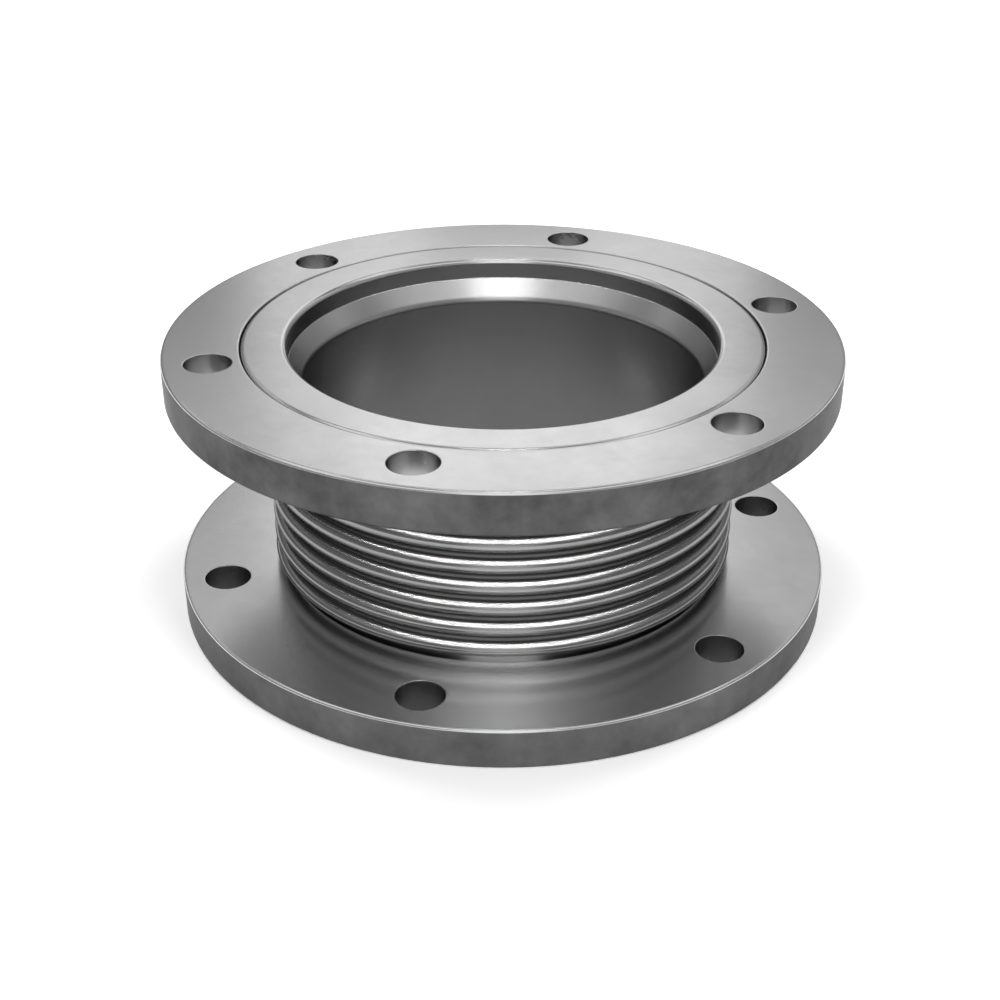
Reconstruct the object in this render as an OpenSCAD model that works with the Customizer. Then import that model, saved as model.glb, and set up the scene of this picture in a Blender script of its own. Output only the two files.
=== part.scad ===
// Exhaust bellows between two loose plate flanges.
// Z is the gas axis. The lower gasket face lies at z = 0 and the first bolt hole on +X.
// Each profile is drawn in the X-Z half plane, as radius and height, and turned round Z.

/* [Overall] */
// Length from gasket face to gasket face, with the bellows free
free_length = 133.5; // [130:0.5:145]

/* [Flanges] */
// Thickness of each loose flange
flange_t = 20; // [18:0.5:22]
// Radius of the turned outer edges
flange_edge = 1.6; // [0.5:0.1:3]
// Radius of the edge at the flange's bore, on the bellows side
bore_edge = 1.4; // [0.5:0.1:2.5]
// Radial gap between the flange's bore and the bellows' cuff
bore_gap = 1.6; // [0.8:0.1:2.5]
// Radial width from the bolt circle to the flange's outer edge
flange_rim = 21; // [18:0.5:30]

/* [Bolt holes] */
// Number of bolt holes in each flange
hole_count = 6; // [4:1:8]
// Radial distance from the lap's outer edge to the bolt circle
bolt_reach = 15.5; // [14:0.5:20]
// Diameter of each bolt hole
hole_d = 22; // [17:0.5:24]
// Width of the countersunk edge of each bolt hole
hole_edge = 0.4; // [0.2:0.1:1.5]

/* [Collars] */
// Diameter of the bore through the neck, which sets the size of everything round it
neck_d = 204; // [150:1:260]
// Wall of the neck
neck_wall = 3.6; // [2.5:0.1:4.5]
// Radial width of the lap outside the flange's bore
lap_reach = 15.2; // [10:0.1:20]
// Thickness of the lap
lap_t = 8; // [6:0.5:9.5]
// Radius of the lap's outer edge at the gasket face
lap_edge = 1.8; // [0.4:0.1:2.5]
// Radius of the mouth, where the gasket face turns into the bore
mouth_edge = 2.6; // [1.5:0.1:4]
// Radial gap between the lap and the flange's recess
seam_gap = 0.5; // [0.3:0.1:1]
// Radius of the recess's edge at the flange's face
recess_edge = 0.6; // [0.2:0.1:1]
// Clearance between the lap's back and the floor of the recess
lap_clearance = 0.3; // [0.2:0.05:0.6]

/* [Bellows] */
// Number of convolutions
crest_count = 8; // [7:1:10]
// Height of the crests above the bore of the cuffs
crest_h = 7.9; // [7.5:0.1:14]
// Thickness of the bellows' wall
bellows_wall = 1; // [0.8:0.1:1.2]
// Distance from the lower flange to the middle of the lowest crest
crest_start = 7.7; // [7:0.1:10]
// Distance from the middle of the highest crest to the upper flange
crest_end = 10.9; // [7:0.1:12]
// Length of each cuff inside the flange's bore
cuff_depth = 8; // [6:0.5:9]
// Slip clearance between cuff and neck, on the radius
cuff_clearance = 0.1; // [0.05:0.05:0.3]

/* [Flow liner] */
// Radial step from the neck's bore in to the liner's sleeve
liner_step = 7; // [4:0.5:12]
// Thickness of the liner's sheet
liner_wall = 1.2; // [1:0.1:2]
// Depth of the cone's upper edge below the gasket face
cone_depth = 10.3; // [8:0.1:12]
// Height of the cone
cone_h = 9.7; // [8:0.1:12]
// Radius of the bend between cone and sleeve, on the gas side
cone_bend = 6; // [3:0.5:10]
// Height of the liner's free end above the lower gasket face
liner_end = 22.5; // [22:0.5:26]

/* [Welds] */
// Leg length of the beads at the bellows' cuffs
cuff_bead = 1.2; // [0.8:0.1:1.5]
// Leg length of the bead under the liner's cone
liner_bead = 2; // [1.5:0.1:3]

/* [Hidden] */

// Facets round a full turn of the object, round a bolt hole and round a small profile arc
turn_fn = 180;
hole_fn = 64;
arc_fn = 32;
// Steps in the bend of the liner, and how far a cutting tool runs past a face
bend_steps = 6;
overrun = 1;

// Radii, from the gas side outwards
neck_r = neck_d / 2;
neck_out_r = neck_r + neck_wall;
cuff_in_r = neck_out_r + cuff_clearance;
cuff_out_r = cuff_in_r + bellows_wall;
flange_bore_r = cuff_out_r + bore_gap;
crest_r = cuff_in_r + crest_h;
lap_r = flange_bore_r + lap_reach;
recess_r = lap_r + seam_gap;
bolt_r = lap_r + bolt_reach;
flange_r = bolt_r + flange_rim;
liner_r = neck_r - liner_step;

// The lap fills the recess flush with the flange's face
recess_depth = lap_t + lap_clearance;
// Heights of the two flanges' inner faces
low_back = flange_t;
high_back = free_length - flange_t;

// Bellows: the crests share what the flanges leave of the free length, and the middle line
// of each bend has a quarter of the pitch as its radius
first_crest_z = low_back + crest_start;
last_crest_z = high_back - crest_end;
pitch = (last_crest_z - first_crest_z) / (crest_count - 1);
bend_mid = pitch / 4;
bend_out = bend_mid + bellows_wall / 2;
bend_in = bend_mid - bellows_wall / 2;
crest_centre_r = crest_r - bend_out;
root_centre_r = cuff_in_r + bend_out;
low_cuff_z = low_back - cuff_depth;
high_cuff_z = high_back + cuff_depth;
// Where the bends that lead into the cuffs have their centres
low_bend_z = first_crest_z - 2 * bend_mid;
high_bend_z = last_crest_z + 2 * bend_mid;

// Each neck ends level with the start of the bellows' bend
low_neck_len = low_bend_z;
high_neck_len = free_length - high_bend_z;

// Liner: the cone runs from the neck's wall to the sleeve
cone_top_z = free_length - cone_depth;
cone_foot_z = cone_top_z - cone_h;
cone_slope = atan2(liner_step, cone_h);
// The sheet's thickness measured straight down from the cone
cone_drop = liner_wall / sin(cone_slope);
// Distance from the corner of cone and sleeve to where the bend starts
bend_run = cone_bend * tan(cone_slope / 2);

// Points of an arc about a centre, from one angle to another
function arc(cx, cy, r, a0, a1, steps) =
    [for (i = [0 : steps]) let (a = a0 + (a1 - a0) * i / steps) [cx + r * cos(a), cy + r * sin(a)]];

// A rectangle from one corner to the opposite one
module box2(x0, y0, x1, y1) {
    translate([x0, y0]) square([x1 - x0, y1 - y0]);
}

// What is left between a square corner and a circle of radius r.
// The corner is at x, y, and sx and sy point from it into the material.
module corner_cut(x, y, r, sx, sy) {
    translate([x, y]) turn_corner(sx, sy)
    difference() {
        translate([-overrun, -overrun]) square(r + overrun);
        translate([r, r]) circle(r, $fn = arc_fn);
    }
}

// Turns a shape that is drawn for the +X +Y corner into another corner
module turn_corner(sx, sy) {
    mirror([sx < 0 ? 1 : 0, 0]) mirror([0, sy < 0 ? 1 : 0]) children();
}

// Half of a bend's ring: side = 1 keeps the outer half, -1 the inner half
module bend(r, z, side) {
    translate([r, z])
    intersection() {
        difference() {
            circle(bend_out, $fn = arc_fn);
            circle(bend_in, $fn = arc_fn);
        }
        if (side > 0) box2(0, -pitch, pitch, pitch);
        else box2(-pitch, -pitch, 0, pitch);
    }
}

// The quarter bend between a cuff and the first or last flank: up = 1 at the lower end
module cuff_bend(z, up) {
    translate([root_centre_r, z])
    intersection() {
        difference() {
            circle(bend_out, $fn = arc_fn);
            circle(bend_in, $fn = arc_fn);
        }
        if (up > 0) box2(-pitch, 0, 0, pitch);
        else box2(-pitch, -pitch, 0, 0);
    }
}

// The straight side of a convolution
module flank(z) {
    box2(root_centre_r, z - bellows_wall / 2, crest_centre_r, z + bellows_wall / 2);
}

module bellows_profile() {
    for (k = [0 : crest_count - 1]) {
        z = first_crest_z + k * pitch;
        bend(crest_centre_r, z, 1);
        flank(z + bend_mid);
        flank(z - bend_mid);
        if (k > 0) bend(root_centre_r, z - pitch / 2, -1);
    }
    cuff_bend(low_bend_z, 1);
    cuff_bend(high_bend_z, -1);
    box2(cuff_in_r, low_cuff_z, cuff_out_r, low_bend_z);
    box2(cuff_in_r, high_bend_z, cuff_out_r, high_cuff_z);
}

module bellows() {
    color("silver")
    rotate_extrude($fn = turn_fn) bellows_profile();
}

// Section of a flange that stands on its gasket face
module flange_profile() {
    difference() {
        box2(flange_bore_r, 0, flange_r, flange_t);
        box2(flange_bore_r - overrun, -overrun, recess_r, recess_depth);
        corner_cut(flange_r, 0, flange_edge, -1, 1);
        corner_cut(flange_r, flange_t, flange_edge, -1, -1);
        corner_cut(flange_bore_r, flange_t, bore_edge, 1, -1);
        corner_cut(recess_r, 0, recess_edge, 1, 1);
    }
}

// One bolt hole with its two countersunk edges
module bolt_hole() {
    translate([0, 0, -overrun])
        cylinder(d = hole_d, h = flange_t + 2 * overrun, $fn = hole_fn);
    translate([0, 0, -overrun])
        cylinder(r1 = hole_d / 2 + hole_edge + overrun, r2 = hole_d / 2,
                 h = hole_edge + overrun, $fn = hole_fn);
    translate([0, 0, flange_t - hole_edge])
        cylinder(r1 = hole_d / 2, r2 = hole_d / 2 + hole_edge + overrun,
                 h = hole_edge + overrun, $fn = hole_fn);
}

module flange() {
    difference() {
        rotate_extrude($fn = turn_fn) flange_profile();
        for (k = [0 : hole_count - 1])
            rotate(k * 360 / hole_count) translate([bolt_r, 0, 0]) bolt_hole();
    }
}

// Section of a collar that stands on its gasket face: the lap and its neck
module collar_profile(neck_len) {
    difference() {
        union() {
            box2(neck_r, 0, lap_r, lap_t);
            box2(neck_r, 0, neck_out_r, neck_len);
        }
        corner_cut(lap_r, 0, lap_edge, -1, 1);
        corner_cut(neck_r, 0, mouth_edge, 1, 1);
    }
}

module collar(neck_len) {
    rotate_extrude($fn = turn_fn) collar_profile(neck_len);
}

// Turns a piece of the lower end over, to make its twin at the upper end
module upper_end() {
    translate([0, 0, free_length]) mirror([0, 0, 1]) children();
}

module lower_flange() { color("gray") flange(); }

module upper_flange() { color("gray") upper_end() flange(); }

module lower_collar() { color("darkgray") collar(low_neck_len); }

module upper_collar() { color("darkgray") upper_end() collar(high_neck_len); }

// The gas side goes down the cone and round the bend, the outer side comes back up
module flow_liner() {
    gas_bend = arc(liner_r + cone_bend, cone_foot_z - bend_run, cone_bend,
                   180 - cone_slope, 180, bend_steps);
    outer_bend = arc(liner_r + cone_bend, cone_foot_z - bend_run, cone_bend - liner_wall,
                     180, 180 - cone_slope, bend_steps);
    color("dimgray")
    rotate_extrude($fn = turn_fn)
    polygon(concat([[neck_r, cone_top_z]], gas_bend,
                   [[liner_r, liner_end], [liner_r + liner_wall, liner_end]], outer_bend,
                   [[neck_r, cone_top_z - cone_drop]]));
}

// A triangular bead on a neck, with its square corner at r, z
module bead(r, z, leg, dr, dz) {
    color("lightgray")
    rotate_extrude($fn = turn_fn)
    polygon([[r, z], [r + dr * leg, z], [r, z + dz * leg]]);
}

module lower_cuff_weld() { bead(neck_out_r, low_cuff_z, cuff_bead, 1, -1); }

module upper_cuff_weld() { bead(neck_out_r, high_cuff_z, cuff_bead, 1, 1); }

// The bead fills the corner between the neck's bore and the underside of the cone
module liner_weld() {
    color("lightgray")
    rotate_extrude($fn = turn_fn)
    polygon([[neck_r, cone_top_z - cone_drop],
             [neck_r - liner_bead * sin(cone_slope),
              cone_top_z - cone_drop - liner_bead * cos(cone_slope)],
             [neck_r, cone_top_z - cone_drop - liner_bead]]);
}

lower_flange();
lower_collar();
bellows();
flow_liner();
upper_collar();
upper_flange();
lower_cuff_weld();
upper_cuff_weld();
liner_weld();
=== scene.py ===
# %% [markdown]
# # Exhaust bellows between two loose flanges
#
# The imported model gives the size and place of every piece. This lesson gives each piece a
# finer mesh and a steel finish, then sets up a small photo studio round the object.
# Lengths are in metres. The gas axis is Z and the first bolt hole lies on +X.

# %% Load the frame
import math

import bmesh
import bpy
import numpy as np
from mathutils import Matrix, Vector
from mathutils.geometry import delaunay_2d_cdt


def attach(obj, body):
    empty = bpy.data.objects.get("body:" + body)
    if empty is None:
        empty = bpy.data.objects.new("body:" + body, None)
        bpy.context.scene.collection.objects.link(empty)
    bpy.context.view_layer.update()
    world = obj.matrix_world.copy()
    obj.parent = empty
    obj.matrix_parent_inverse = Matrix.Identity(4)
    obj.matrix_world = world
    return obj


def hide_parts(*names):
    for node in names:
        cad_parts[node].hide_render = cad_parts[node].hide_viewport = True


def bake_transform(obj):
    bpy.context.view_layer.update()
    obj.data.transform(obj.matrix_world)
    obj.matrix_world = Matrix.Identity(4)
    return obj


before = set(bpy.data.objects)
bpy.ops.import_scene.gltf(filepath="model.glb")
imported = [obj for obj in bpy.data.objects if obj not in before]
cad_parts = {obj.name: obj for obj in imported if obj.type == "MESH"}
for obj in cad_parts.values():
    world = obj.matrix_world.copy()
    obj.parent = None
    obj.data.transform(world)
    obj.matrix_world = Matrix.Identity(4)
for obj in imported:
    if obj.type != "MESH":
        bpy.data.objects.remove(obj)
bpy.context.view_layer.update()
MM = 0.001

# %% [markdown]
# ## Sizes
#
# Almost every piece is a body of revolution, so four numbers say where it is: its smallest
# and largest radius, and its lowest and highest point. They are read from the CAD nodes,
# so that a change of size there needs no change here. What no such number gives, such as
# edge radii, clearances and the bolt holes, is named below.


# %% Measure the CAD pieces
class Extent:
    """Smallest and largest radius, lowest and highest point of a CAD node."""

    def __init__(self, node):
        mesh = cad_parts[node].data
        points = np.array([v.co for v in mesh.vertices])
        radius = np.hypot(points[:, 0], points[:, 1])
        self.inner, self.outer = float(radius.min()), float(radius.max())
        self.low, self.high = float(points[:, 2].min()), float(points[:, 2].max())


LOWER_RING, UPPER_RING = Extent("lower_flange"), Extent("upper_flange")
LOWER_COLLAR, UPPER_COLLAR = Extent("lower_collar"), Extent("upper_collar")
BELLOWS, LINER = Extent("bellows"), Extent("flow_liner")
FREE_LENGTH = UPPER_RING.high
FLANGE_THICK = LOWER_RING.high

FLANGE_EDGE = 1.6 * MM
BORE_EDGE = 1.4 * MM
RECESS_GAP = 0.5 * MM
RECESS_EDGE = 0.6 * MM
LAP_THICK = 8.0 * MM
LAP_CLEARANCE = 0.3 * MM
LAP_EDGE = 1.8 * MM
MOUTH_EDGE = 2.6 * MM
NECK_WALL = 3.6 * MM
HOLE_COUNT = 6
HOLE_RADIUS = 11.0 * MM
HOLE_EDGE = 0.4 * MM
BROKEN_EDGE = 0.3 * MM
BOLT_RADIUS = 139.0 * MM
for name, piece in (("flange", LOWER_RING), ("collar", LOWER_COLLAR), ("bellows", BELLOWS)):
    print(name, "radius", round(piece.inner, 5), "to", round(piece.outer, 5))

# %% [markdown]
# ## Node maths that reads like Python
#
# Blender builds materials and Geometry Nodes from small maths nodes. The class below wraps
# one node socket, so that a + b or 1 - mask adds the node by itself. One method makes every
# other kind of node: its settings come first, then the values or links of its inputs.


# %% The node helpers
class Wire:
    """A node's output that takes part in sums and products."""

    def __init__(self, tree, socket):
        self.tree, self.socket = tree, socket

    def maths(self, operation, *others, first=None):
        values = (self, *others) if first is None else (first, self, *others)
        return self.tree.make("ShaderNodeMath", {"operation": operation}, dict(enumerate(values)))

    def __add__(self, other):
        return self.maths("ADD", other)

    def __mul__(self, other):
        return self.maths("MULTIPLY", other)

    __radd__, __rmul__ = __add__, __mul__

    def __sub__(self, other):
        return self.maths("SUBTRACT", other)

    def __rsub__(self, other):
        return self.maths("SUBTRACT", first=other)

    def __truediv__(self, other):
        return self.maths("DIVIDE", other)

    def __rtruediv__(self, other):
        return self.maths("DIVIDE", first=other)

    def above(self, other):
        return self.maths("GREATER_THAN", other)

    def smooth(self, low, high):
        """0 below low, 1 above high, and a soft step between."""
        settings = {"interpolation_type": "SMOOTHSTEP"}
        values = {"Value": self, "From Min": low, "From Max": high}
        return self.tree.make("ShaderNodeMapRange", settings, values)


class Tree:
    """Adds nodes to one node tree."""

    def __init__(self, tree):
        self.tree = tree

    def make(self, kind, settings=None, inputs=None, output=0):
        node = self.tree.nodes.new(kind)
        for name, value in (settings or {}).items():
            setattr(node, name, value)
        for name, value in (inputs or {}).items():
            self.put(node.inputs[name], value)
        return Wire(self, node.outputs[output])

    def put(self, socket, value):
        if isinstance(value, Wire):
            self.tree.links.new(value.socket, socket)
        else:
            socket.default_value = value

    def parts(self, vector):
        """The X, Y and Z of a vector."""
        node = self.make("ShaderNodeSeparateXYZ", None, {0: vector}).socket.node
        return [Wire(self, out) for out in node.outputs]


# %% [markdown]
# ## Steel finishes
#
# All pieces are bare stainless steel and differ in how they were worked, and in painted
# shade. Bare metal has no colour of its own: its base colour says how much light it throws
# back. A metallic Principled shader gives that. What makes it look worked is small and
# uneven: soft clouds in the polish, and the fine rings that a lathe tool leaves. A lathe tool
# feeds along the profile, so radius plus height is a good measure of how far it has come,
# both on a flat face, where only the radius changes, and on a straight wall, where only the
# height does.
# A picture of steel could be wrapped round instead, but noise on the object's own
# coordinates has no seam and fits any size.
#
# The floor of this studio is white, and the photograph's metal mirrors something dark low
# down. So what mirrors the floor gets a darker base colour, which is painted shade standing
# for that dark reflection: the rims, holes and undersides of the flanges, the whole bellows,
# and its grooves darker still.


# %% The steel material
CLOUD_SIZE = 30 * MM
FINE_CLOUD_SIZE = 6 * MM
TOOL_FEED = 0.25 * MM
EDGE_TINT = 0.6
CLOUD_GLOSS = 0.6
MARK_SHADE = 0.3


def cloudy(tree, place, size, detail, roughness):
    """Soft noise round 0, with patches of about the given size."""
    look = {"Vector": place, "Scale": 1 / size, "Detail": detail, "Roughness": roughness}
    return tree.make("ShaderNodeTexNoise", None, look) - 0.5


def steel(name, grey, roughness, clouds=0.03, rings=0.0, coarse_and_shade=None, roots=None):
    """A worked steel finish. grey is the base colour, clouds the unevenness of the polish,
    rings the depth of the tool's marks in metres. The next argument, (grey, roughness), gives a
    rougher finish and a darker grey, painted shade, where the mesh's attribute of the same name
    is 1. The last, (grey, roughness, radius, radius, height), gives the grooves a rougher finish
    and a darker grey, painted shade, that fades out between two radii and starts above a height."""
    material = bpy.data.materials.new(name)
    material.use_nodes = True
    tree = Tree(material.node_tree)
    shader = material.node_tree.nodes["Principled BSDF"]
    place = tree.make("ShaderNodeTexCoord", output="Object")
    x, y, z = tree.parts(place)
    radius = (x * x + y * y).maths("SQRT")
    broad = cloudy(tree, place, CLOUD_SIZE, 3.0, 0.55)
    fine = cloudy(tree, place, FINE_CLOUD_SIZE, 4.0, 0.6)
    unevenness = broad * (2 * clouds) + fine * clouds
    travel = radius + z
    feed = {"W": travel / TOOL_FEED, "Scale": 1.0, "Detail": 2.0, "Roughness": 0.7}
    marks = tree.make("ShaderNodeTexNoise", {"noise_dimensions": "1D"}, feed)
    base, gloss = unevenness + grey, roughness - unevenness * CLOUD_GLOSS
    # Where the mesh's attribute marks it, the steel is rougher, and its grey is darker as painted
    # shade.
    if coarse_and_shade:
        shaded_grey, dull_roughness = coarse_and_shade
        share = tree.make("ShaderNodeAttribute", {"attribute_name": "coarse_and_shade"}, output="Fac")
        base = base + share * (shaded_grey - grey)
        gloss = gloss + share * (dull_roughness - roughness)
    # In the bellows' grooves, from a given height up, the steel is rougher and its grey is darker
    # as painted shade.
    if roots:
        shaded_grey, dull_roughness, full_radius, end_radius, foot_height = roots
        share = (1 - radius.smooth(full_radius, end_radius)) * z.above(foot_height)
        base = base + share * (shaded_grey - grey)
        gloss = gloss + share * (dull_roughness - roughness)
    base = base + (marks - 0.5) * (MARK_SHADE * clouds)
    colour = tree.make("ShaderNodeCombineColor", None, {0: base, 1: base, 2: base})
    tree.put(shader.inputs["Base Color"], colour)
    tree.put(shader.inputs["Roughness"], gloss)
    shader.inputs["Metallic"].default_value = 1.0
    shader.inputs["Specular Tint"].default_value = (EDGE_TINT, EDGE_TINT, EDGE_TINT, 1)
    if rings:
        height = {"Height": marks, "Distance": rings, "Strength": 1.0}
        tree.put(shader.inputs["Normal"], tree.make("ShaderNodeBump", None, height))
    print("finish", name, "with", len(material.node_tree.nodes), "nodes")
    return material


RING_DEPTH = 0.0006 * MM
# The flanges' rim grey is painted shade: it stands for the dark reflection the rims should show.
RIM_SHADE_GREY, RIM_ROUGHNESS = 0.09, 0.34
# The root grey is painted shade in the bellows' grooves. It fades out towards the crests and
# leaves the foot below FOOT_HEIGHT lighter.
ROOT_SHADE_GREY, ROOT_ROUGHNESS = 0.035, 0.38
SHADE_FULL = BELLOWS.outer - 4.2 * MM
SHADE_END = BELLOWS.outer - 2.4 * MM
FOOT_HEIGHT = 24.0 * MM
ROOT_SHADE = (ROOT_SHADE_GREY, ROOT_ROUGHNESS, SHADE_FULL, SHADE_END, FOOT_HEIGHT)
FLANGE_FINISH = steel(
    "turned_flange_steel",
    grey=0.72,
    roughness=0.23,
    clouds=0.060,
    rings=RING_DEPTH,
    coarse_and_shade=(RIM_SHADE_GREY, RIM_ROUGHNESS),
)
COLLAR_FINISH = steel(
    "turned_collar_steel", grey=0.68, roughness=0.20, clouds=0.055, rings=RING_DEPTH
)
# The bellows' low grey is painted shade: the same steel made darker, standing for the dark
# surroundings it should mirror.
BELLOWS_FINISH = steel(
    "formed_bellows_steel", grey=0.27, roughness=0.23, clouds=0.003, roots=ROOT_SHADE
)
LINER_FINISH = steel("rolled_liner_steel", grey=0.48, roughness=0.26, clouds=0.035)
WELD_FINISH = steel("seam_weld_steel", grey=0.45, roughness=0.35, clouds=0.060)

# %% [markdown]
# ## Turned pieces
#
# A lathe makes a ring by running one outline round the axis. The outline is given as
# corners, each with the radius of its rounding. Each rounding becomes a short arc, and a
# pair of extra points just outside it holds the flat faces flat, because smooth shading
# would else bend the light on the whole face near an edge. A Screw modifier on a drawn
# profile would turn the ring as well. A few lines of code were chosen, because they close
# it exactly, with no seam.

# %% Outlines and rings
ARC_STEPS = 8
HOLD = 0.35 * MM
TURN_STEPS = 360
SAME_PLACE = 0.0001 * MM


def rounded(corners):
    """The closed outline through corners (r, z, rounding), with arcs at the corners."""
    outline = []
    count = len(corners)
    for k, (r, z, size) in enumerate(corners):
        here = Vector((r, z))
        before = Vector(corners[k - 1][:2]) - here
        after = Vector(corners[(k + 1) % count][:2]) - here
        a, b = before.normalized(), after.normalized()
        half = a.angle(b) / 2
        reach = size / math.tan(half)
        outline += hold_points(here, a, before.length, reach)
        if size:
            outline += corner_arc(here, a, b, size, half)
        else:
            outline.append(here)
        outline += reversed(hold_points(here, b, after.length, reach))
    return [(p.x, p.y) for p in outline]


def hold_points(here, direction, length, reach):
    """The holding point beside a corner, if its side has room for one."""
    return [here + direction * (reach + HOLD)] if length > 2 * (reach + HOLD) + HOLD else []


def corner_arc(here, a, b, size, half):
    """Points of the arc that rounds a corner between its sides a and b."""
    centre = here + (a + b).normalized() * (size / math.sin(half))
    start = here + a * (size / math.tan(half)) - centre
    end = here + b * (size / math.tan(half)) - centre
    turn = start.angle_signed(end)
    first = math.atan2(start.y, start.x)
    angles = [first - turn * k / ARC_STEPS for k in range(ARC_STEPS + 1)]
    return [centre + Vector((math.cos(t), math.sin(t))) * size for t in angles]


def finished(name, mesh, material):
    """Links a mesh to the scene as a smooth piece with one finish."""
    bm = bmesh.new()
    bm.from_mesh(mesh)
    bmesh.ops.remove_doubles(bm, verts=bm.verts, dist=SAME_PLACE)
    bmesh.ops.recalc_face_normals(bm, faces=bm.faces)
    bm.to_mesh(mesh)
    bm.free()
    mesh.materials.clear()
    mesh.materials.append(material)
    mesh.shade_smooth()
    piece = bpy.data.objects.new(name, mesh)
    bpy.context.scene.collection.objects.link(piece)
    print(name, len(mesh.polygons), "faces")
    return piece


def turned_mesh(name, outline, steps=TURN_STEPS):
    """The mesh of a ring, made by turning a closed outline of (r, z) points round Z."""
    turns = np.linspace(0, 2 * math.pi, steps, endpoint=False)
    rim = np.array(outline)
    points = np.empty((steps, len(rim), 3))
    points[..., 0] = np.cos(turns)[:, None] * rim[:, 0]
    points[..., 1] = np.sin(turns)[:, None] * rim[:, 0]
    points[..., 2] = rim[:, 1]
    n, faces = len(rim), []
    for i in range(steps):
        j = (i + 1) % steps
        for k in range(n):
            m = (k + 1) % n
            faces.append((i * n + k, j * n + k, j * n + m, i * n + m))
    mesh = bpy.data.meshes.new(name)
    mesh.from_pydata(points.reshape(-1, 3).tolist(), [], faces)
    return mesh


def turned(name, outline, material):
    """A finished ring."""
    return finished(name, turned_mesh(name, outline), material)


def turned_over(corners):
    """The same outline at the upper end of the object."""
    return [(r, FREE_LENGTH - z, size) for r, z, size in corners]


# %% [markdown]
# ## Collars
#
# A collar is one turned ring: a flat lap with the gasket face, and a neck that goes down
# inside the bellows. The mouth has a generous rounding. The lower one stands on its face,
# and the upper one is the same outline, turned over.


# %% Make the collars
def collar_corners(collar, length):
    neck = collar.inner + NECK_WALL
    return [
        (collar.inner, 0, MOUTH_EDGE),
        (collar.outer, 0, LAP_EDGE),
        (collar.outer, LAP_THICK, BROKEN_EDGE),
        (neck, LAP_THICK, BROKEN_EDGE),
        (neck, length, BROKEN_EDGE),
        (collar.inner, length, BROKEN_EDGE),
    ]


lower_corners = collar_corners(LOWER_COLLAR, LOWER_COLLAR.high)
upper_corners = collar_corners(UPPER_COLLAR, FREE_LENGTH - UPPER_COLLAR.low)
lower_collar = turned("lower_collar_ring", rounded(lower_corners), COLLAR_FINISH)
upper_collar = turned("upper_collar_ring", rounded(turned_over(upper_corners)), COLLAR_FINISH)

# %% [markdown]
# ## Flow liner
#
# The liner is rolled sheet with a conical inlet, so its section is one bent strip. The
# outline goes down the gas side and comes back up the outside, where the bend lies a
# little lower and has a smaller radius, so that the wall keeps its thickness.

# %% Make the liner
LINER_WALL = 1.2 * MM
CONE_HEIGHT = 9.7 * MM
CONE_BEND = 6.0 * MM
LINER_EDGE = 0.2 * MM
OUTER_BEND_DROP = 0.3
cone_step = LINER.outer - LINER.inner
cone_drop = LINER_WALL / math.sin(math.atan2(cone_step, CONE_HEIGHT))
cone_foot = LINER.high - CONE_HEIGHT
outer_foot = cone_foot - cone_drop * OUTER_BEND_DROP
liner_corners = [
    (LINER.outer, LINER.high, 0),
    (LINER.inner, cone_foot, CONE_BEND),
    (LINER.inner, LINER.low, LINER_EDGE),
    (LINER.inner + LINER_WALL, LINER.low, LINER_EDGE),
    (LINER.inner + LINER_WALL, outer_foot, CONE_BEND - LINER_WALL),
    (LINER.outer, LINER.high - cone_drop, 0),
]
flow_liner = turned("flow_liner_tube", rounded(liner_corners), LINER_FINISH)

# %% [markdown]
# ## Flanges
#
# A loose flange is a turned plate with six bolt holes, and it looks the same after every
# sixth of a turn. A boolean could drill a turned plate, but its cuts often leave creases
# that show in polished steel. So only one sixth is made here: strips that follow the
# outline, and two flat faces, each cut into triangles round its hole. Geometry Nodes then
# repeat the sixth round the axis and close its seams. The sixth also carries a number at
# each point, from 0 to 1, which tells the finish where the steel is rougher and where its
# grey is darkened as painted shade: the rim, the holes and the underside.

# %% One sixth of a flange
SECTOR_STEPS = TURN_STEPS // HOLE_COUNT
HOLE_STEPS = 64
HOLE_ARC_STEPS = 4
# How much of the rougher finish and its painted shade goes to the underside, the holes and the
# rims. The lower rim takes a little less, which lightens its painted shade.
DULL_AND_SHADE_SHARE = 0.85
HOLE_SHARE = 0.45
LOWER_WALL_SHARE = 0.94
UPPER_WALL_SHARE = 1.0
WALL_SLACK = FLANGE_EDGE / 20
EDGE_SLACK = FLANGE_EDGE * 0.9
LEVEL_SLACK = 0.01 * MM
TRIANGLE_SLACK = 1e-9


def sector_ring(radius):
    """Points of an arc over one sixth of a turn, with the hole in its middle."""
    half = math.pi / HOLE_COUNT
    return [
        Vector((radius * math.cos(t), radius * math.sin(t)))
        for t in np.linspace(-half, half, SECTOR_STEPS + 1)
    ]


def hole_ring(radius):
    """Points of a circle round the bolt hole's centre."""
    turns = np.linspace(0, 2 * math.pi, HOLE_STEPS, endpoint=False)
    return [
        Vector((BOLT_RADIUS + radius * math.cos(t), radius * math.sin(t))) for t in turns
    ]


def flat_face(bm, inner, outer, hole, z):
    """A flat sixth of a ring between two radii, with a round hole in it."""
    rim = sector_ring(inner) + sector_ring(outer)[::-1]
    circle = hole_ring(hole)
    loops = [list(range(len(rim))), list(range(len(rim), len(rim) + len(circle)))]
    edges = [(loop[k - 1], loop[k]) for loop in loops for k in range(len(loop))]
    points, _, faces, *_ = delaunay_2d_cdt(rim + circle, edges, [], 1, TRIANGLE_SLACK)
    verts = [bm.verts.new((p.x, p.y, z)) for p in points]
    centre = Vector((BOLT_RADIUS, 0))
    for face in faces:
        middle = sum((points[k] for k in face), Vector((0, 0))) / len(face)
        if (middle - centre).length > hole * math.cos(math.pi / HOLE_STEPS):
            bm.faces.new([verts[k] for k in face])


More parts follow.
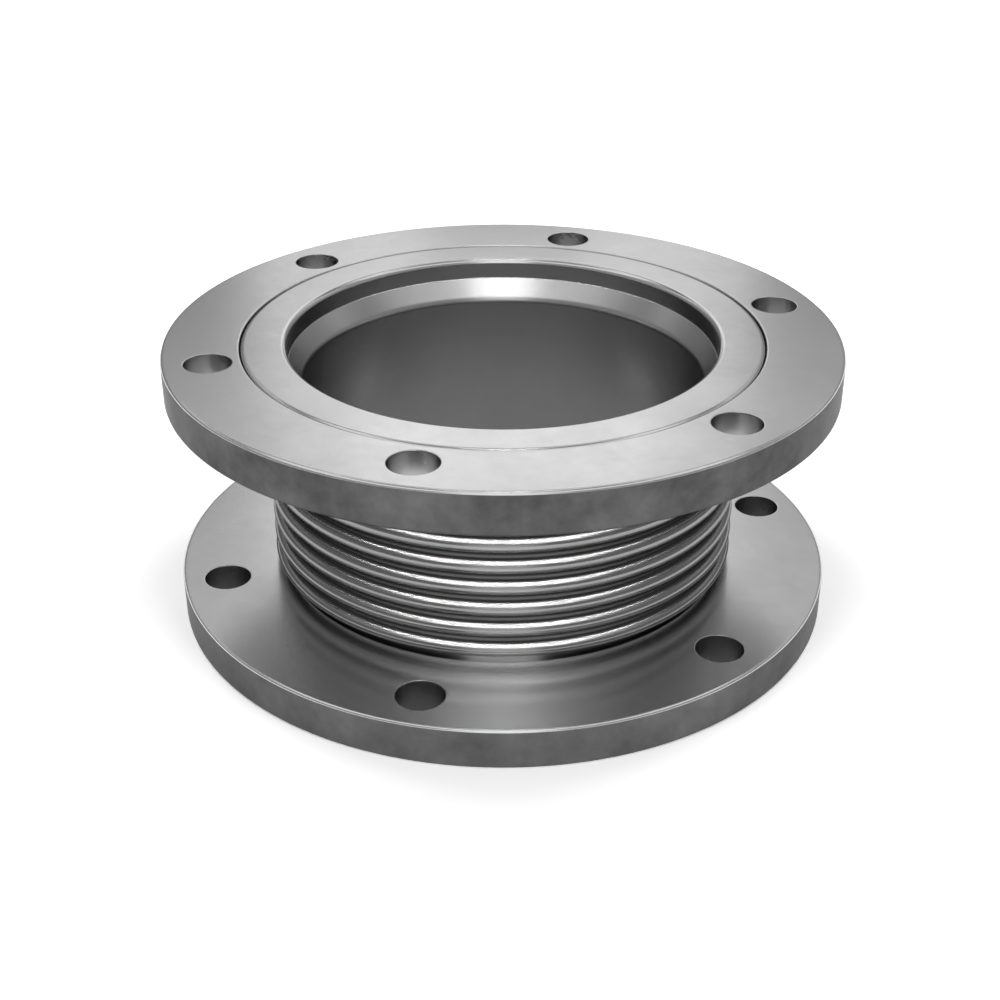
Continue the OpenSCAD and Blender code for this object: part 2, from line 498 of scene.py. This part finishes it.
def strip(bm, rows):
    """Faces between each row of points and the next."""
    verts = [[bm.verts.new(p) for p in row] for row in rows]
    for low, high in zip(verts, verts[1:]):
        for k in range(len(low) - 1):
            bm.faces.new((low[k], low[k + 1], high[k + 1], high[k]))


def hole_outline(low, high):
    """Radius and height down a bolt hole, with its two edges broken."""
    places = [(HOLE_RADIUS + HOLE_EDGE + HOLD, low)]
    for end, inward in ((low, 1), (high, -1)):
        arc = []
        for k in range(HOLE_ARC_STEPS + 1):
            t = math.pi / 2 * k / HOLE_ARC_STEPS
            r = HOLE_RADIUS + HOLE_EDGE * (1 - math.sin(t))
            arc.append((r, end + inward * HOLE_EDGE * (1 - math.cos(t))))
        arc.append((HOLE_RADIUS, end + inward * (HOLE_EDGE + HOLD)))
        places += arc if inward > 0 else arc[::-1]
    return places + [(HOLE_RADIUS + HOLE_EDGE + HOLD, high)]


def grade_rough_and_shade(bm, low, dull_and_shade_height, wall_share):
    """Marks where a flange is rougher and its grey darkened as painted shade: its outer wall and,
    less so, its underside and holes.
    """
    layer = bm.verts.layers.float.new("coarse_and_shade")
    for vert in bm.verts:
        x, y, z = vert.co
        radius = math.hypot(x, y)
        in_hole = math.hypot(x - BOLT_RADIUS, y) < HOLE_RADIUS + HOLE_EDGE / 2
        on_wall = radius > LOWER_RING.outer - WALL_SLACK
        on_low_edge = radius > LOWER_RING.outer - EDGE_SLACK and z < low + FLANGE_EDGE
        on_dull_and_shade_face = abs(z - dull_and_shade_height) < LEVEL_SLACK
        if on_wall or on_low_edge:
            vert[layer] = wall_share
        else:
            vert[layer] = HOLE_SHARE if in_hole else DULL_AND_SHADE_SHARE * on_dull_and_shade_face


def flange_sector(corners, low, high, dull_and_shade_height, wall_share):
    """One sixth of a flange, as a mesh."""
    outline = rounded(corners)
    bm = bmesh.new()
    wide = HOLE_RADIUS + HOLE_EDGE + HOLD
    for k, (r, z) in enumerate(outline):
        after = outline[(k + 1) % len(outline)]
        near, far = min(r, after[0]), max(r, after[0])
        if near < BOLT_RADIUS - wide and far > BOLT_RADIUS + wide:
            flat_face(bm, near, far, wide, z)
        else:
            strip(bm, [[(*p, h) for p in sector_ring(q)] for q, h in ((r, z), after)])
    circles = [[(*p, h) for p in hole_ring(r)] for r, h in hole_outline(low, high)]
    strip(bm, [circle + circle[:1] for circle in circles])
    grade_rough_and_shade(bm, low, dull_and_shade_height, wall_share)
    mesh = bpy.data.meshes.new("flange_sector")
    bm.to_mesh(mesh)
    bm.free()
    return mesh


# %% [markdown]
# ## One sixth becomes a ring
#
# Geometry Nodes put one point for each bolt hole on the axis, place the sixth on every
# point, turned by its share of the circle, and merge the seams. The result is turned back
# into a plain mesh, because the moving parts need one.

# %% The tree that repeats a sector round the axis
SEAM = 0.001 * MM


def ring_tree(material):
    """Geometry Nodes that turn one sector into a whole ring."""
    group = bpy.data.node_groups.new("ring_of_sectors", "GeometryNodeTree")
    face = group.interface
    face.new_socket("Sector", in_out="INPUT", socket_type="NodeSocketGeometry")
    face.new_socket("Count", in_out="INPUT", socket_type="NodeSocketInt")
    face.new_socket("Seam", in_out="INPUT", socket_type="NodeSocketFloat")
    face.new_socket("Ring", in_out="OUTPUT", socket_type="NodeSocketGeometry")
    tree = Tree(group)
    entry = group.nodes.new("NodeGroupInput")
    sector, count, seam = [Wire(tree, out) for out in entry.outputs[:3]]
    spots = tree.make("GeometryNodePoints", None, {"Count": count})
    index = tree.make("GeometryNodeInputIndex")
    turn = tree.make("ShaderNodeCombineXYZ", None, {"Z": index / count * math.tau})
    spin = {"Points": spots, "Instance": sector, "Rotation": turn}
    copies = tree.make("GeometryNodeInstanceOnPoints", None, spin)
    solid = tree.make("GeometryNodeRealizeInstances", None, {0: copies})
    joined = tree.make("GeometryNodeMergeByDistance", None, {"Geometry": solid, "Distance": seam})
    coated = tree.make("GeometryNodeSetMaterial", None, {"Geometry": joined, "Material": material})
    tree.put(group.nodes.new("NodeGroupOutput").inputs[0], coated)
    return group


def grown(name, mesh, group, values, material):
    """Runs a Geometry Nodes tree on a mesh and keeps the result as a plain mesh."""
    carrier = bpy.data.objects.new(name + "_carrier", mesh)
    bpy.context.scene.collection.objects.link(carrier)
    modifier = carrier.modifiers.new("grow", "NODES")
    modifier.node_group = group
    for item in group.interface.items_tree:
        if item.in_out == "INPUT" and item.name in values:
            modifier[item.identifier] = values[item.name]
    ready = carrier.evaluated_get(bpy.context.evaluated_depsgraph_get())
    result = bpy.data.meshes.new_from_object(ready)
    bpy.data.objects.remove(carrier)
    return finished(name, result, material)


# %% Make the flanges
RECESS_RADIUS = LOWER_COLLAR.outer + RECESS_GAP
flange_corners = [
    (RECESS_RADIUS, 0, RECESS_EDGE),
    (LOWER_RING.outer, 0, FLANGE_EDGE),
    (LOWER_RING.outer, FLANGE_THICK, FLANGE_EDGE),
    (LOWER_RING.inner, FLANGE_THICK, BORE_EDGE),
    (LOWER_RING.inner, LAP_THICK + LAP_CLEARANCE, BROKEN_EDGE),
    (RECESS_RADIUS, LAP_THICK + LAP_CLEARANCE, BROKEN_EDGE),
]
ring_of_sectors = ring_tree(FLANGE_FINISH)
flanges = {}
underside = FREE_LENGTH - FLANGE_THICK
ends = (
    ("lower", flange_corners, 0, LOWER_WALL_SHARE),
    ("upper", turned_over(flange_corners), underside, UPPER_WALL_SHARE),
)
for end, corners, dull_and_shade_height, wall_share in ends:
    heights = [z for _, z, _ in corners]
    sector = flange_sector(corners, min(heights), max(heights), dull_and_shade_height, wall_share)
    values = {"Count": HOLE_COUNT, "Seam": SEAM}
    flanges[end] = grown(end + "_flange_ring", sector, ring_of_sectors, values, FLANGE_FINISH)

# %% [markdown]
# ## Bellows
#
# The bellows is the piece that takes the most skill: one thin tube, pressed outwards into
# eight convolutions. Its section follows a rule: half circles for crests and roots, a
# quarter of the pitch in radius, joined by short flat sides. A grid of points is rolled up
# and every point gets its radius and height from that rule, in Geometry Nodes, with all
# sizes as named inputs. A drawn outline could be turned as for the collars, but here the
# number of crests and their spacing stay easy to change. Solidify then gives the sheet its
# thickness.
#
# The grid's rows are dealt out to the bends in turn: a root, a crest, a root, and so on.
# Along a bend an angle runs from a quarter turn below its middle to a quarter turn above.
# The first and last bends are roots, and their outer halves are drawn out straight to
# make the plain cuffs at the ends.

# %% The rule of the bellows
CRESTS = 8
SHEET = 1.0 * MM
FIRST_CREST = 27.7 * MM
LAST_CREST = 102.6 * MM
BEND_STEPS = 10
BELLOWS_TURN_STEPS = 256
BELLOWS_INPUTS = {
    "Crests": ("NodeSocketInt", CRESTS),
    "Bend steps": ("NodeSocketInt", BEND_STEPS),
    "Turn steps": ("NodeSocketInt", BELLOWS_TURN_STEPS),
    "First crest": ("NodeSocketFloat", FIRST_CREST),
    "Last crest": ("NodeSocketFloat", LAST_CREST),
    "Crest radius": ("NodeSocketFloat", BELLOWS.outer - SHEET / 2),
    "Root radius": ("NodeSocketFloat", BELLOWS.inner + SHEET / 2),
    "Low cuff": ("NodeSocketFloat", BELLOWS.low),
    "High cuff": ("NodeSocketFloat", BELLOWS.high),
}


def on_convolutions(tree, given, bends, rows_per_bend):
    """Where each point of the flat grid goes, from its place on the grid."""
    x, y, _ = tree.parts(tree.make("GeometryNodeInputPosition"))
    turn = (x + 0.5) * math.tau
    row = ((y + 0.5) * (bends * rows_per_bend - 1)).maths("ROUND")
    bend = (row / rows_per_bend).maths("FLOOR")
    step = row - bend * rows_per_bend
    angle = step / given["Bend steps"] * math.pi - math.pi / 2
    past_low = (1 - bend).above(0.5) * (0 - angle).above(0.0)
    past_high = bend.above(bends - 1.5) * angle.above(0.0)
    pitch = (given["Last crest"] - given["First crest"]) / (given["Crests"] - 1)
    bend_radius = pitch / 4
    out = angle.maths("COSINE")
    out = out + (past_low + past_high) * (1 - out)
    crest_radius = given["Crest radius"] - bend_radius + bend_radius * out
    root_radius = given["Root radius"] + bend_radius - bend_radius * out
    is_crest = bend.maths("MODULO", 2.0)
    radius = root_radius + is_crest * (crest_radius - root_radius)
    middle = given["First crest"] + (bend - 1) * pitch / 2
    height = middle + bend_radius * angle.maths("SINE")
    share = angle / (math.pi / 2)
    low_height = middle + share * (middle - given["Low cuff"])
    high_height = middle + share * (given["High cuff"] - middle)
    height = height + past_low * (low_height - height) + past_high * (high_height - height)
    across, along = radius * turn.maths("COSINE"), radius * turn.maths("SINE")
    return tree.make("ShaderNodeCombineXYZ", None, {"X": across, "Y": along, "Z": height})


# %% The tree that rolls the bellows
def bellows_tree(material):
    """Geometry Nodes for the middle surface of the bellows."""
    group = bpy.data.node_groups.new("rolled_convolutions", "GeometryNodeTree")
    for name, (kind, _) in BELLOWS_INPUTS.items():
        group.interface.new_socket(name, in_out="INPUT", socket_type=kind)
    group.interface.new_socket("Tube", in_out="OUTPUT", socket_type="NodeSocketGeometry")
    tree = Tree(group)
    entry = group.nodes.new("NodeGroupInput")
    given = {name: Wire(tree, entry.outputs[name]) for name in BELLOWS_INPUTS}
    bends = given["Crests"] * 2 + 1
    rows_per_bend = given["Bend steps"] + 1
    grid = {
        "Vertices X": given["Turn steps"] + 1,
        "Vertices Y": bends * rows_per_bend,
        "Size X": 1.0,
        "Size Y": 1.0,
    }
    sheet = tree.make("GeometryNodeMeshGrid", None, grid)
    place = on_convolutions(tree, given, bends, rows_per_bend)
    rolled = tree.make("GeometryNodeSetPosition", None, {"Geometry": sheet, "Position": place})
    closed = tree.make("GeometryNodeMergeByDistance", None, {"Geometry": rolled, "Distance": SEAM})
    solid = tree.make("GeometryNodeRealizeInstances", None, {0: closed})
    coated = tree.make("GeometryNodeSetMaterial", None, {"Geometry": solid, "Material": material})
    tree.put(group.nodes.new("NodeGroupOutput").inputs[0], coated)
    return group


# %% Make the bellows
def thickened(piece, wall):
    """Gives an open sheet its wall, half to each side, as a plain mesh."""
    solidify = piece.modifiers.new("wall", "SOLIDIFY")
    solidify.thickness = wall
    solidify.offset = 0
    ready = piece.evaluated_get(bpy.context.evaluated_depsgraph_get())
    mesh = bpy.data.meshes.new_from_object(ready)
    piece.modifiers.clear()
    piece.data = mesh
    print(piece.name, len(mesh.polygons), "faces with its wall")
    return piece


blank = bpy.data.meshes.new("bellows_blank")
sizes = {name: value for name, (_, value) in BELLOWS_INPUTS.items()}
bellows = grown("bellows_tube", blank, bellows_tree(BELLOWS_FINISH), sizes, BELLOWS_FINISH)
thickened(bellows, SHEET)

# %% [markdown]
# ## Weld beads
#
# Three fine seams hold the thin pieces: one at each cuff, and one under the liner's cone.
# A hand-laid bead has ripples, one for each drop of the filler. A turned outline gives the
# bead, and Geometry Nodes then pull its outer points in a little at every ripple. A bump in
# the finish would be less work, but it would leave the mesh plain. A bead only ever gets
# thinner by the pull, so it stays inside its plain outline.

# %% The tree that ripples a bead
CUFF_BEAD = 1.2 * MM
LINER_BEAD = 2.0 * MM
BEAD_STEPS = 1440
RIPPLES = 360
RIPPLE_DEPTH = 0.12
BULGE = 0.62
LINER_BEAD_SHARE = 0.5
BEAD_INPUTS = ("Ripples", "Depth", "Wall radius")


def ripple_tree(material):
    """Geometry Nodes that draw a bead's points towards its wall, once for each ripple."""
    group = bpy.data.node_groups.new("rippled_bead", "GeometryNodeTree")
    face = group.interface
    face.new_socket("Bead", in_out="INPUT", socket_type="NodeSocketGeometry")
    for name in BEAD_INPUTS:
        face.new_socket(name, in_out="INPUT", socket_type="NodeSocketFloat")
    face.new_socket("Rippled", in_out="OUTPUT", socket_type="NodeSocketGeometry")
    tree = Tree(group)
    entry = group.nodes.new("NodeGroupInput")
    plain, ripples, depth, wall = [Wire(tree, out) for out in entry.outputs[:4]]
    x, y, z = tree.parts(tree.make("GeometryNodeInputPosition"))
    length = (x * x + y * y).maths("SQRT")
    wave = (y.maths("ARCTAN2", x) * ripples / 2).maths("SINE").maths("ABSOLUTE")
    scale = (wall + (length - wall) * (1 - wave * depth)) / length
    place = tree.make("ShaderNodeCombineXYZ", None, {"X": x * scale, "Y": y * scale, "Z": z})
    pulled = tree.make("GeometryNodeSetPosition", None, {"Geometry": plain, "Position": place})
    solid = tree.make("GeometryNodeRealizeInstances", None, {0: pulled})
    coated = tree.make("GeometryNodeSetMaterial", None, {"Geometry": solid, "Material": material})
    tree.put(group.nodes.new("NodeGroupOutput").inputs[0], coated)
    return group


# %% Make the beads
rippled_bead = ripple_tree(WELD_FINISH)


def bead(name, corner, leg_r, leg_z):
    """A rippled bead with its square corner at corner and its legs along r and z."""
    r, z = corner
    bulge = (r + leg_r * BULGE, z + leg_z * BULGE)
    outline = [(r, z), (r + leg_r, z), bulge, (r, z + leg_z)]
    values = {"Ripples": float(RIPPLES), "Depth": RIPPLE_DEPTH, "Wall radius": r}
    plain = turned_mesh(name, outline, BEAD_STEPS)
    return grown(name, plain, rippled_bead, values, WELD_FINISH)


neck_radius = LOWER_COLLAR.inner + NECK_WALL
lower_bead = bead("lower_cuff_bead", (neck_radius, BELLOWS.low), CUFF_BEAD, -CUFF_BEAD)
upper_bead = bead("upper_cuff_bead", (neck_radius, BELLOWS.high), CUFF_BEAD, CUFF_BEAD)
liner_corner = (LINER.outer, LINER.high - cone_drop)
liner_bead = bead("liner_bead", liner_corner, -LINER_BEAD * LINER_BEAD_SHARE, -LINER_BEAD)

# %% [markdown]
# ## What moves with what
#
# The upper end rides up and down on the bellows, and each loose flange turns on its collar.
# The bellows itself stretches between the two ends. Here it is only set in the object's frame
# and bound to no body.

# %% Bind the pieces to the bodies
BINDINGS = [
    (lower_collar, "lower_end", "lower_collar", "collar_steel"),
    (lower_bead, "lower_end", "lower_cuff_weld", "weld_steel"),
    (upper_collar, "upper_end", "upper_collar", "collar_steel"),
    (upper_bead, "upper_end", "upper_cuff_weld", "weld_steel"),
    (liner_bead, "upper_end", "liner_weld", "weld_steel"),
    (flow_liner, "upper_end", "flow_liner", "liner_steel"),
    (flanges["lower"], "lower_ring", "lower_flange", "flange_steel"),
    (flanges["upper"], "upper_ring", "upper_flange", "flange_steel"),
]
for piece, body, node, slot in BINDINGS:
    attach(piece, body)
    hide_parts(node)

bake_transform(bellows)
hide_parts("bellows")
print(len(BINDINGS) + 1, "pieces bound")

# %% [markdown]
# ## Camera
#
# The camera stands where the photograph's did. Its place was found from the ellipses that
# the flanges' edges draw, in a frame that looks along +Y. The object's first bolt hole lies
# on +X, which that view sees turned by 15 degrees, so the whole studio turns by as much.

# %% Place the camera
STUDIO_TURN = math.radians(-15)
CAMERA_PLACE = (-1.34 * MM, -690.2 * MM, 419.5 * MM)
CAMERA_AIM = (-1.34 * MM, 0.0, 43.2 * MM)
LENS_MM = 56.38
SENSOR_MM = 36.0


def in_studio(x, y, z):
    """A place given in the photograph's frame, turned into the object's frame."""
    c, s = math.cos(STUDIO_TURN), math.sin(STUDIO_TURN)
    return Vector((c * x - s * y, s * x + c * y, z))


camera_data = bpy.data.cameras.new("camera")
camera_data.lens = LENS_MM
camera_data.sensor_width = SENSOR_MM
camera_data.clip_start = 0.01
camera_data.clip_end = 100
camera = bpy.data.objects.new("camera", camera_data)
camera.location = in_studio(*CAMERA_PLACE)
camera.rotation_mode = "QUATERNION"
camera.rotation_quaternion = (in_studio(*CAMERA_AIM) - camera.location).to_track_quat("-Z", "Y")
bpy.context.scene.collection.objects.link(camera)
bpy.context.scene.camera = camera
bpy.context.scene.view_settings.view_transform = "Standard"
print("camera at", [round(v, 4) for v in camera.location])

# %% [markdown]
# ## Studio
#
# Polished steel shows its surroundings, so the studio is most of the picture. The floor and
# the background are white, for the camera and for reflections alike. The world's light on
# matt things is kept low, so that the object's shadow stays on the floor. The floor is a
# disc that ends where its lamps do, because a dim edge would show as a grey band.

# %% White surroundings
FLOOR_RADIUS = 2.1
FLOOR_STEPS = 96
FLOOR_SEEN = 1.35
FLOOR_BOUNCE = 0.75
WORLD_SEEN = 1.0
WORLD_LIGHT = 0.3


def seen_rays(tree):
    """1 for the rays of the camera, of reflections and of glass, and 0 for other rays."""
    rays = tree.make("ShaderNodeLightPath").socket.node
    kinds = ("Is Camera Ray", "Is Glossy Ray", "Is Transmission Ray")
    camera_ray, glossy_ray, glass_ray = [Wire(tree, rays.outputs[kind]) for kind in kinds]
    return (camera_ray + glossy_ray + glass_ray).maths("MINIMUM", 1.0)


world = bpy.data.worlds.new("white_studio")
bpy.context.scene.world = world
world.use_nodes = True
sky = Tree(world.node_tree)
background = world.node_tree.nodes["Background"]
background.inputs["Color"].default_value = (1, 1, 1, 1)
sky.put(background.inputs["Strength"], seen_rays(sky) * (WORLD_SEEN - WORLD_LIGHT) + WORLD_LIGHT)

floor_paint = bpy.data.materials.new("white_floor")
floor_paint.use_nodes = True
paint = Tree(floor_paint.node_tree)
floor_paint.node_tree.nodes.remove(floor_paint.node_tree.nodes["Principled BSDF"])
level = seen_rays(paint) * (FLOOR_SEEN - FLOOR_BOUNCE) + FLOOR_BOUNCE
tone = paint.make("ShaderNodeCombineColor", None, {0: level, 1: level, 2: level})
matt = paint.make("ShaderNodeBsdfDiffuse", None, {"Color": tone})
paint.put(floor_paint.node_tree.nodes["Material Output"].inputs["Surface"], matt)

floor_mesh = bpy.data.meshes.new("floor")
floor_turns = [math.tau * k / FLOOR_STEPS for k in range(FLOOR_STEPS)]
floor_rim = [(FLOOR_RADIUS * math.cos(t), FLOOR_RADIUS * math.sin(t), 0) for t in floor_turns]
floor_mesh.from_pydata(floor_rim, [], [tuple(range(FLOOR_STEPS))])
floor_mesh.materials.append(floor_paint)
floor = bpy.data.objects.new("floor", floor_mesh)
bpy.context.scene.collection.objects.link(floor)
print("floor", FLOOR_RADIUS, "m in radius")

# %% [markdown]
# ## Lamps
#
# All lamps are soft panels that the camera doesn't see. Light linking lets each lamp light
# only the pieces it is meant for, as flags and shades do in a real studio.
#
# The strip lamp lights the liner, the edge lamp the flanges and the upper collar, and the
# narrow streak lamp, behind the object, adds a bright streak on the lower flange. The crest
# lamp draws a bright line on every crest of the bellows. The bounce lamp stands in front,
# below the floor, and gives the lower crests the light that a floor throws up. None of them
# casts a shadow, because the upper flange would hide the bellows from them.
#
# Four more lamps light the floor alone, and those do cast the object's shadow. A lamp's
# power is worked out from its radiance and its size, so that a lamp can change its size
# without a change in how bright it looks in the metal.

# %% Hang the lamps
LAMP_HEIGHT = 1.5
STRIP_PLACE = (0, -0.001, LAMP_HEIGHT)
STRIP_WIDTH = 0.8
STRIP_LENGTH = 3.4
STRIP_RADIANCE = 1.6
CREST_PLACE = (0, -0.16, LAMP_HEIGHT)
CREST_WIDTH = 1.5
CREST_LENGTH = 2.0
CREST_RADIANCE = 4.0
BOUNCE_PLACE = (0, -1.25, -0.80)
BOUNCE_WIDTH = 0.80
BOUNCE_LENGTH = 0.25
BOUNCE_RADIANCE = 1.2
EDGE_WIDTH = 0.35
EDGE_LENGTH = 1.2
EDGE_RADIANCE = 1.05
STREAK_PLACE = (0, 1.45, 1.15)
STREAK_WIDTH = 0.06
STREAK_LENGTH = 0.5
STREAK_RADIANCE = 1.25
FLOOR_LAMPS = 4
FLOOR_LAMP_SIZE = 1.4
FLOOR_LAMP_REACH = 2.2
FLOOR_LAMP_HEIGHT = 1.1
FLOOR_LAMP_RADIANCE = 4.6


def group_of(name, things):
    """A collection that only names its objects to a lamp."""
    group = bpy.data.collections.new(name)
    for thing in things:
        group.objects.link(thing)
    return group


def soft_lamp(name, place, aim, width, length, radiance, lit, blockers):
    """A rectangular soft lamp that the camera doesn't see. It lights only some objects,
    and only its blockers cast its shadow."""
    light = bpy.data.lights.new(name, "AREA")
    light.shape = "RECTANGLE"
    light.size, light.size_y = width, length
    light.energy = radiance * math.pi * width * length
    lamp = bpy.data.objects.new(name, light)
    lamp.location = place
    lamp.rotation_mode = "QUATERNION"
    lamp.rotation_quaternion = (aim - place).to_track_quat("-Z", "Y")
    lamp.visible_camera = False
    lamp.light_linking.receiver_collection = group_of(name + "_lights", lit)
    light.use_shadow = bool(blockers)
    light.cycles.use_multiple_importance_sampling = False
    if blockers:
        lamp.light_linking.blocker_collection = group_of(name + "_blockers", blockers)
    bpy.context.scene.collection.objects.link(lamp)
    print(name, round(light.energy, 2), "W on", len(lit), "pieces")
    return lamp


centre = Vector((0, 0, 0))
bounce_lit = [bellows, lower_collar, lower_bead]
edge_lit = [upper_collar, flanges["upper"], flanges["lower"]]
metal_lamps = [
    ("strip", STRIP_PLACE, STRIP_WIDTH, STRIP_LENGTH, STRIP_RADIANCE, [flow_liner]),
    ("crest", CREST_PLACE, CREST_WIDTH, CREST_LENGTH, CREST_RADIANCE, [bellows]),
    ("bounce", BOUNCE_PLACE, BOUNCE_WIDTH, BOUNCE_LENGTH, BOUNCE_RADIANCE, bounce_lit),
    ("edge", STRIP_PLACE, EDGE_WIDTH, EDGE_LENGTH, EDGE_RADIANCE, edge_lit),
    ("streak", STREAK_PLACE, STREAK_WIDTH, STREAK_LENGTH, STREAK_RADIANCE, [flanges["lower"]]),
]
for name, place, width, length, radiance, lit in metal_lamps:
    soft_lamp(name + "_lamp", in_studio(*place), centre, width, length, radiance, lit, [])

blockers = [piece for piece, *_ in BINDINGS] + [bellows]
for k in range(FLOOR_LAMPS):
    turn = math.tau * (k + 0.5) / FLOOR_LAMPS
    across, along = FLOOR_LAMP_REACH * math.cos(turn), FLOOR_LAMP_REACH * math.sin(turn)
    spot = in_studio(across, along, FLOOR_LAMP_HEIGHT)
    panel = (FLOOR_LAMP_SIZE, FLOOR_LAMP_SIZE, FLOOR_LAMP_RADIANCE)
    soft_lamp("floor_lamp_" + str(k + 1), spot, centre, *panel, [floor], blockers)

# %% [markdown]
# ## Cards
#
# In white surroundings bare metal is white too and loses its form. A photographer puts up
# grey cards, which the metal reflects as soft dark shapes. Here each card is a curved strip
# on a sphere round the object, given by the directions it covers. It only glows as bright
# as its grey and only reflections see it, so it casts no shadow and lights no matt thing.
# The list gives each card's azimuths and elevations in degrees, and its grey.

# %% Put up the cards
CARD_DISTANCE = 2.2
CARD_STEPS = 24
CARD_ROWS = 5


def card(name, azimuths, elevations, grey):
    """A curved card at CARD_DISTANCE that only reflections see. Azimuth 0 is straight
    behind the object as the camera sees it, and 180 is behind the camera."""
    rows = []
    turns = np.radians(np.linspace(*azimuths, CARD_STEPS + 1))
    for e in np.radians(np.linspace(*elevations, CARD_ROWS)):
        out, height = CARD_DISTANCE * math.cos(e), CARD_DISTANCE * math.sin(e)
        rows.append([in_studio(out * math.sin(a), out * math.cos(a), height) for a in turns])
    bm = bmesh.new()
    strip(bm, rows)
    mesh = bpy.data.meshes.new(name)
    bm.to_mesh(mesh)
    bm.free()
    felt = bpy.data.materials.new(name + "_felt")
    felt.use_nodes = True
    tree = Tree(felt.node_tree)
    glow = tree.make("ShaderNodeEmission", None, {"Color": (grey, grey, grey, 1)})
    tree.put(felt.node_tree.nodes["Material Output"].inputs["Surface"], glow)
    mesh.materials.append(felt)
    piece = bpy.data.objects.new(name, mesh)
    bpy.context.scene.collection.objects.link(piece)
    piece.visible_camera = False
    piece.visible_diffuse = False
    piece.visible_shadow = False
    return piece


cards = [
    card("front_left_card", (195, 285), (4, 44), 0.32),
    card("front_right_card", (75, 165), (4, 44), 0.32),
    card("front_card", (165, 195), (4, 44), 1.10),
    card("gap_card", (-75, 75), (40, 50), 0.12),
    card("left_card", (-75, -13), (4, 26), 0.26),
    card("right_card", (13, 75), (4, 26), 0.34),
    card("high_left_card", (-75, -13), (26, 37), 0.56),
    card("high_right_card", (13, 75), (26, 37), 0.58),
    card("back_card", (-4, 4.5), (4, 21), 0.28),
    card("bright_card", (-8, 8), (24, 33), 1.4),
    card("overhead_card", (0, 360), (64, 89.9), 0.25),
]
print(len(cards), "cards")
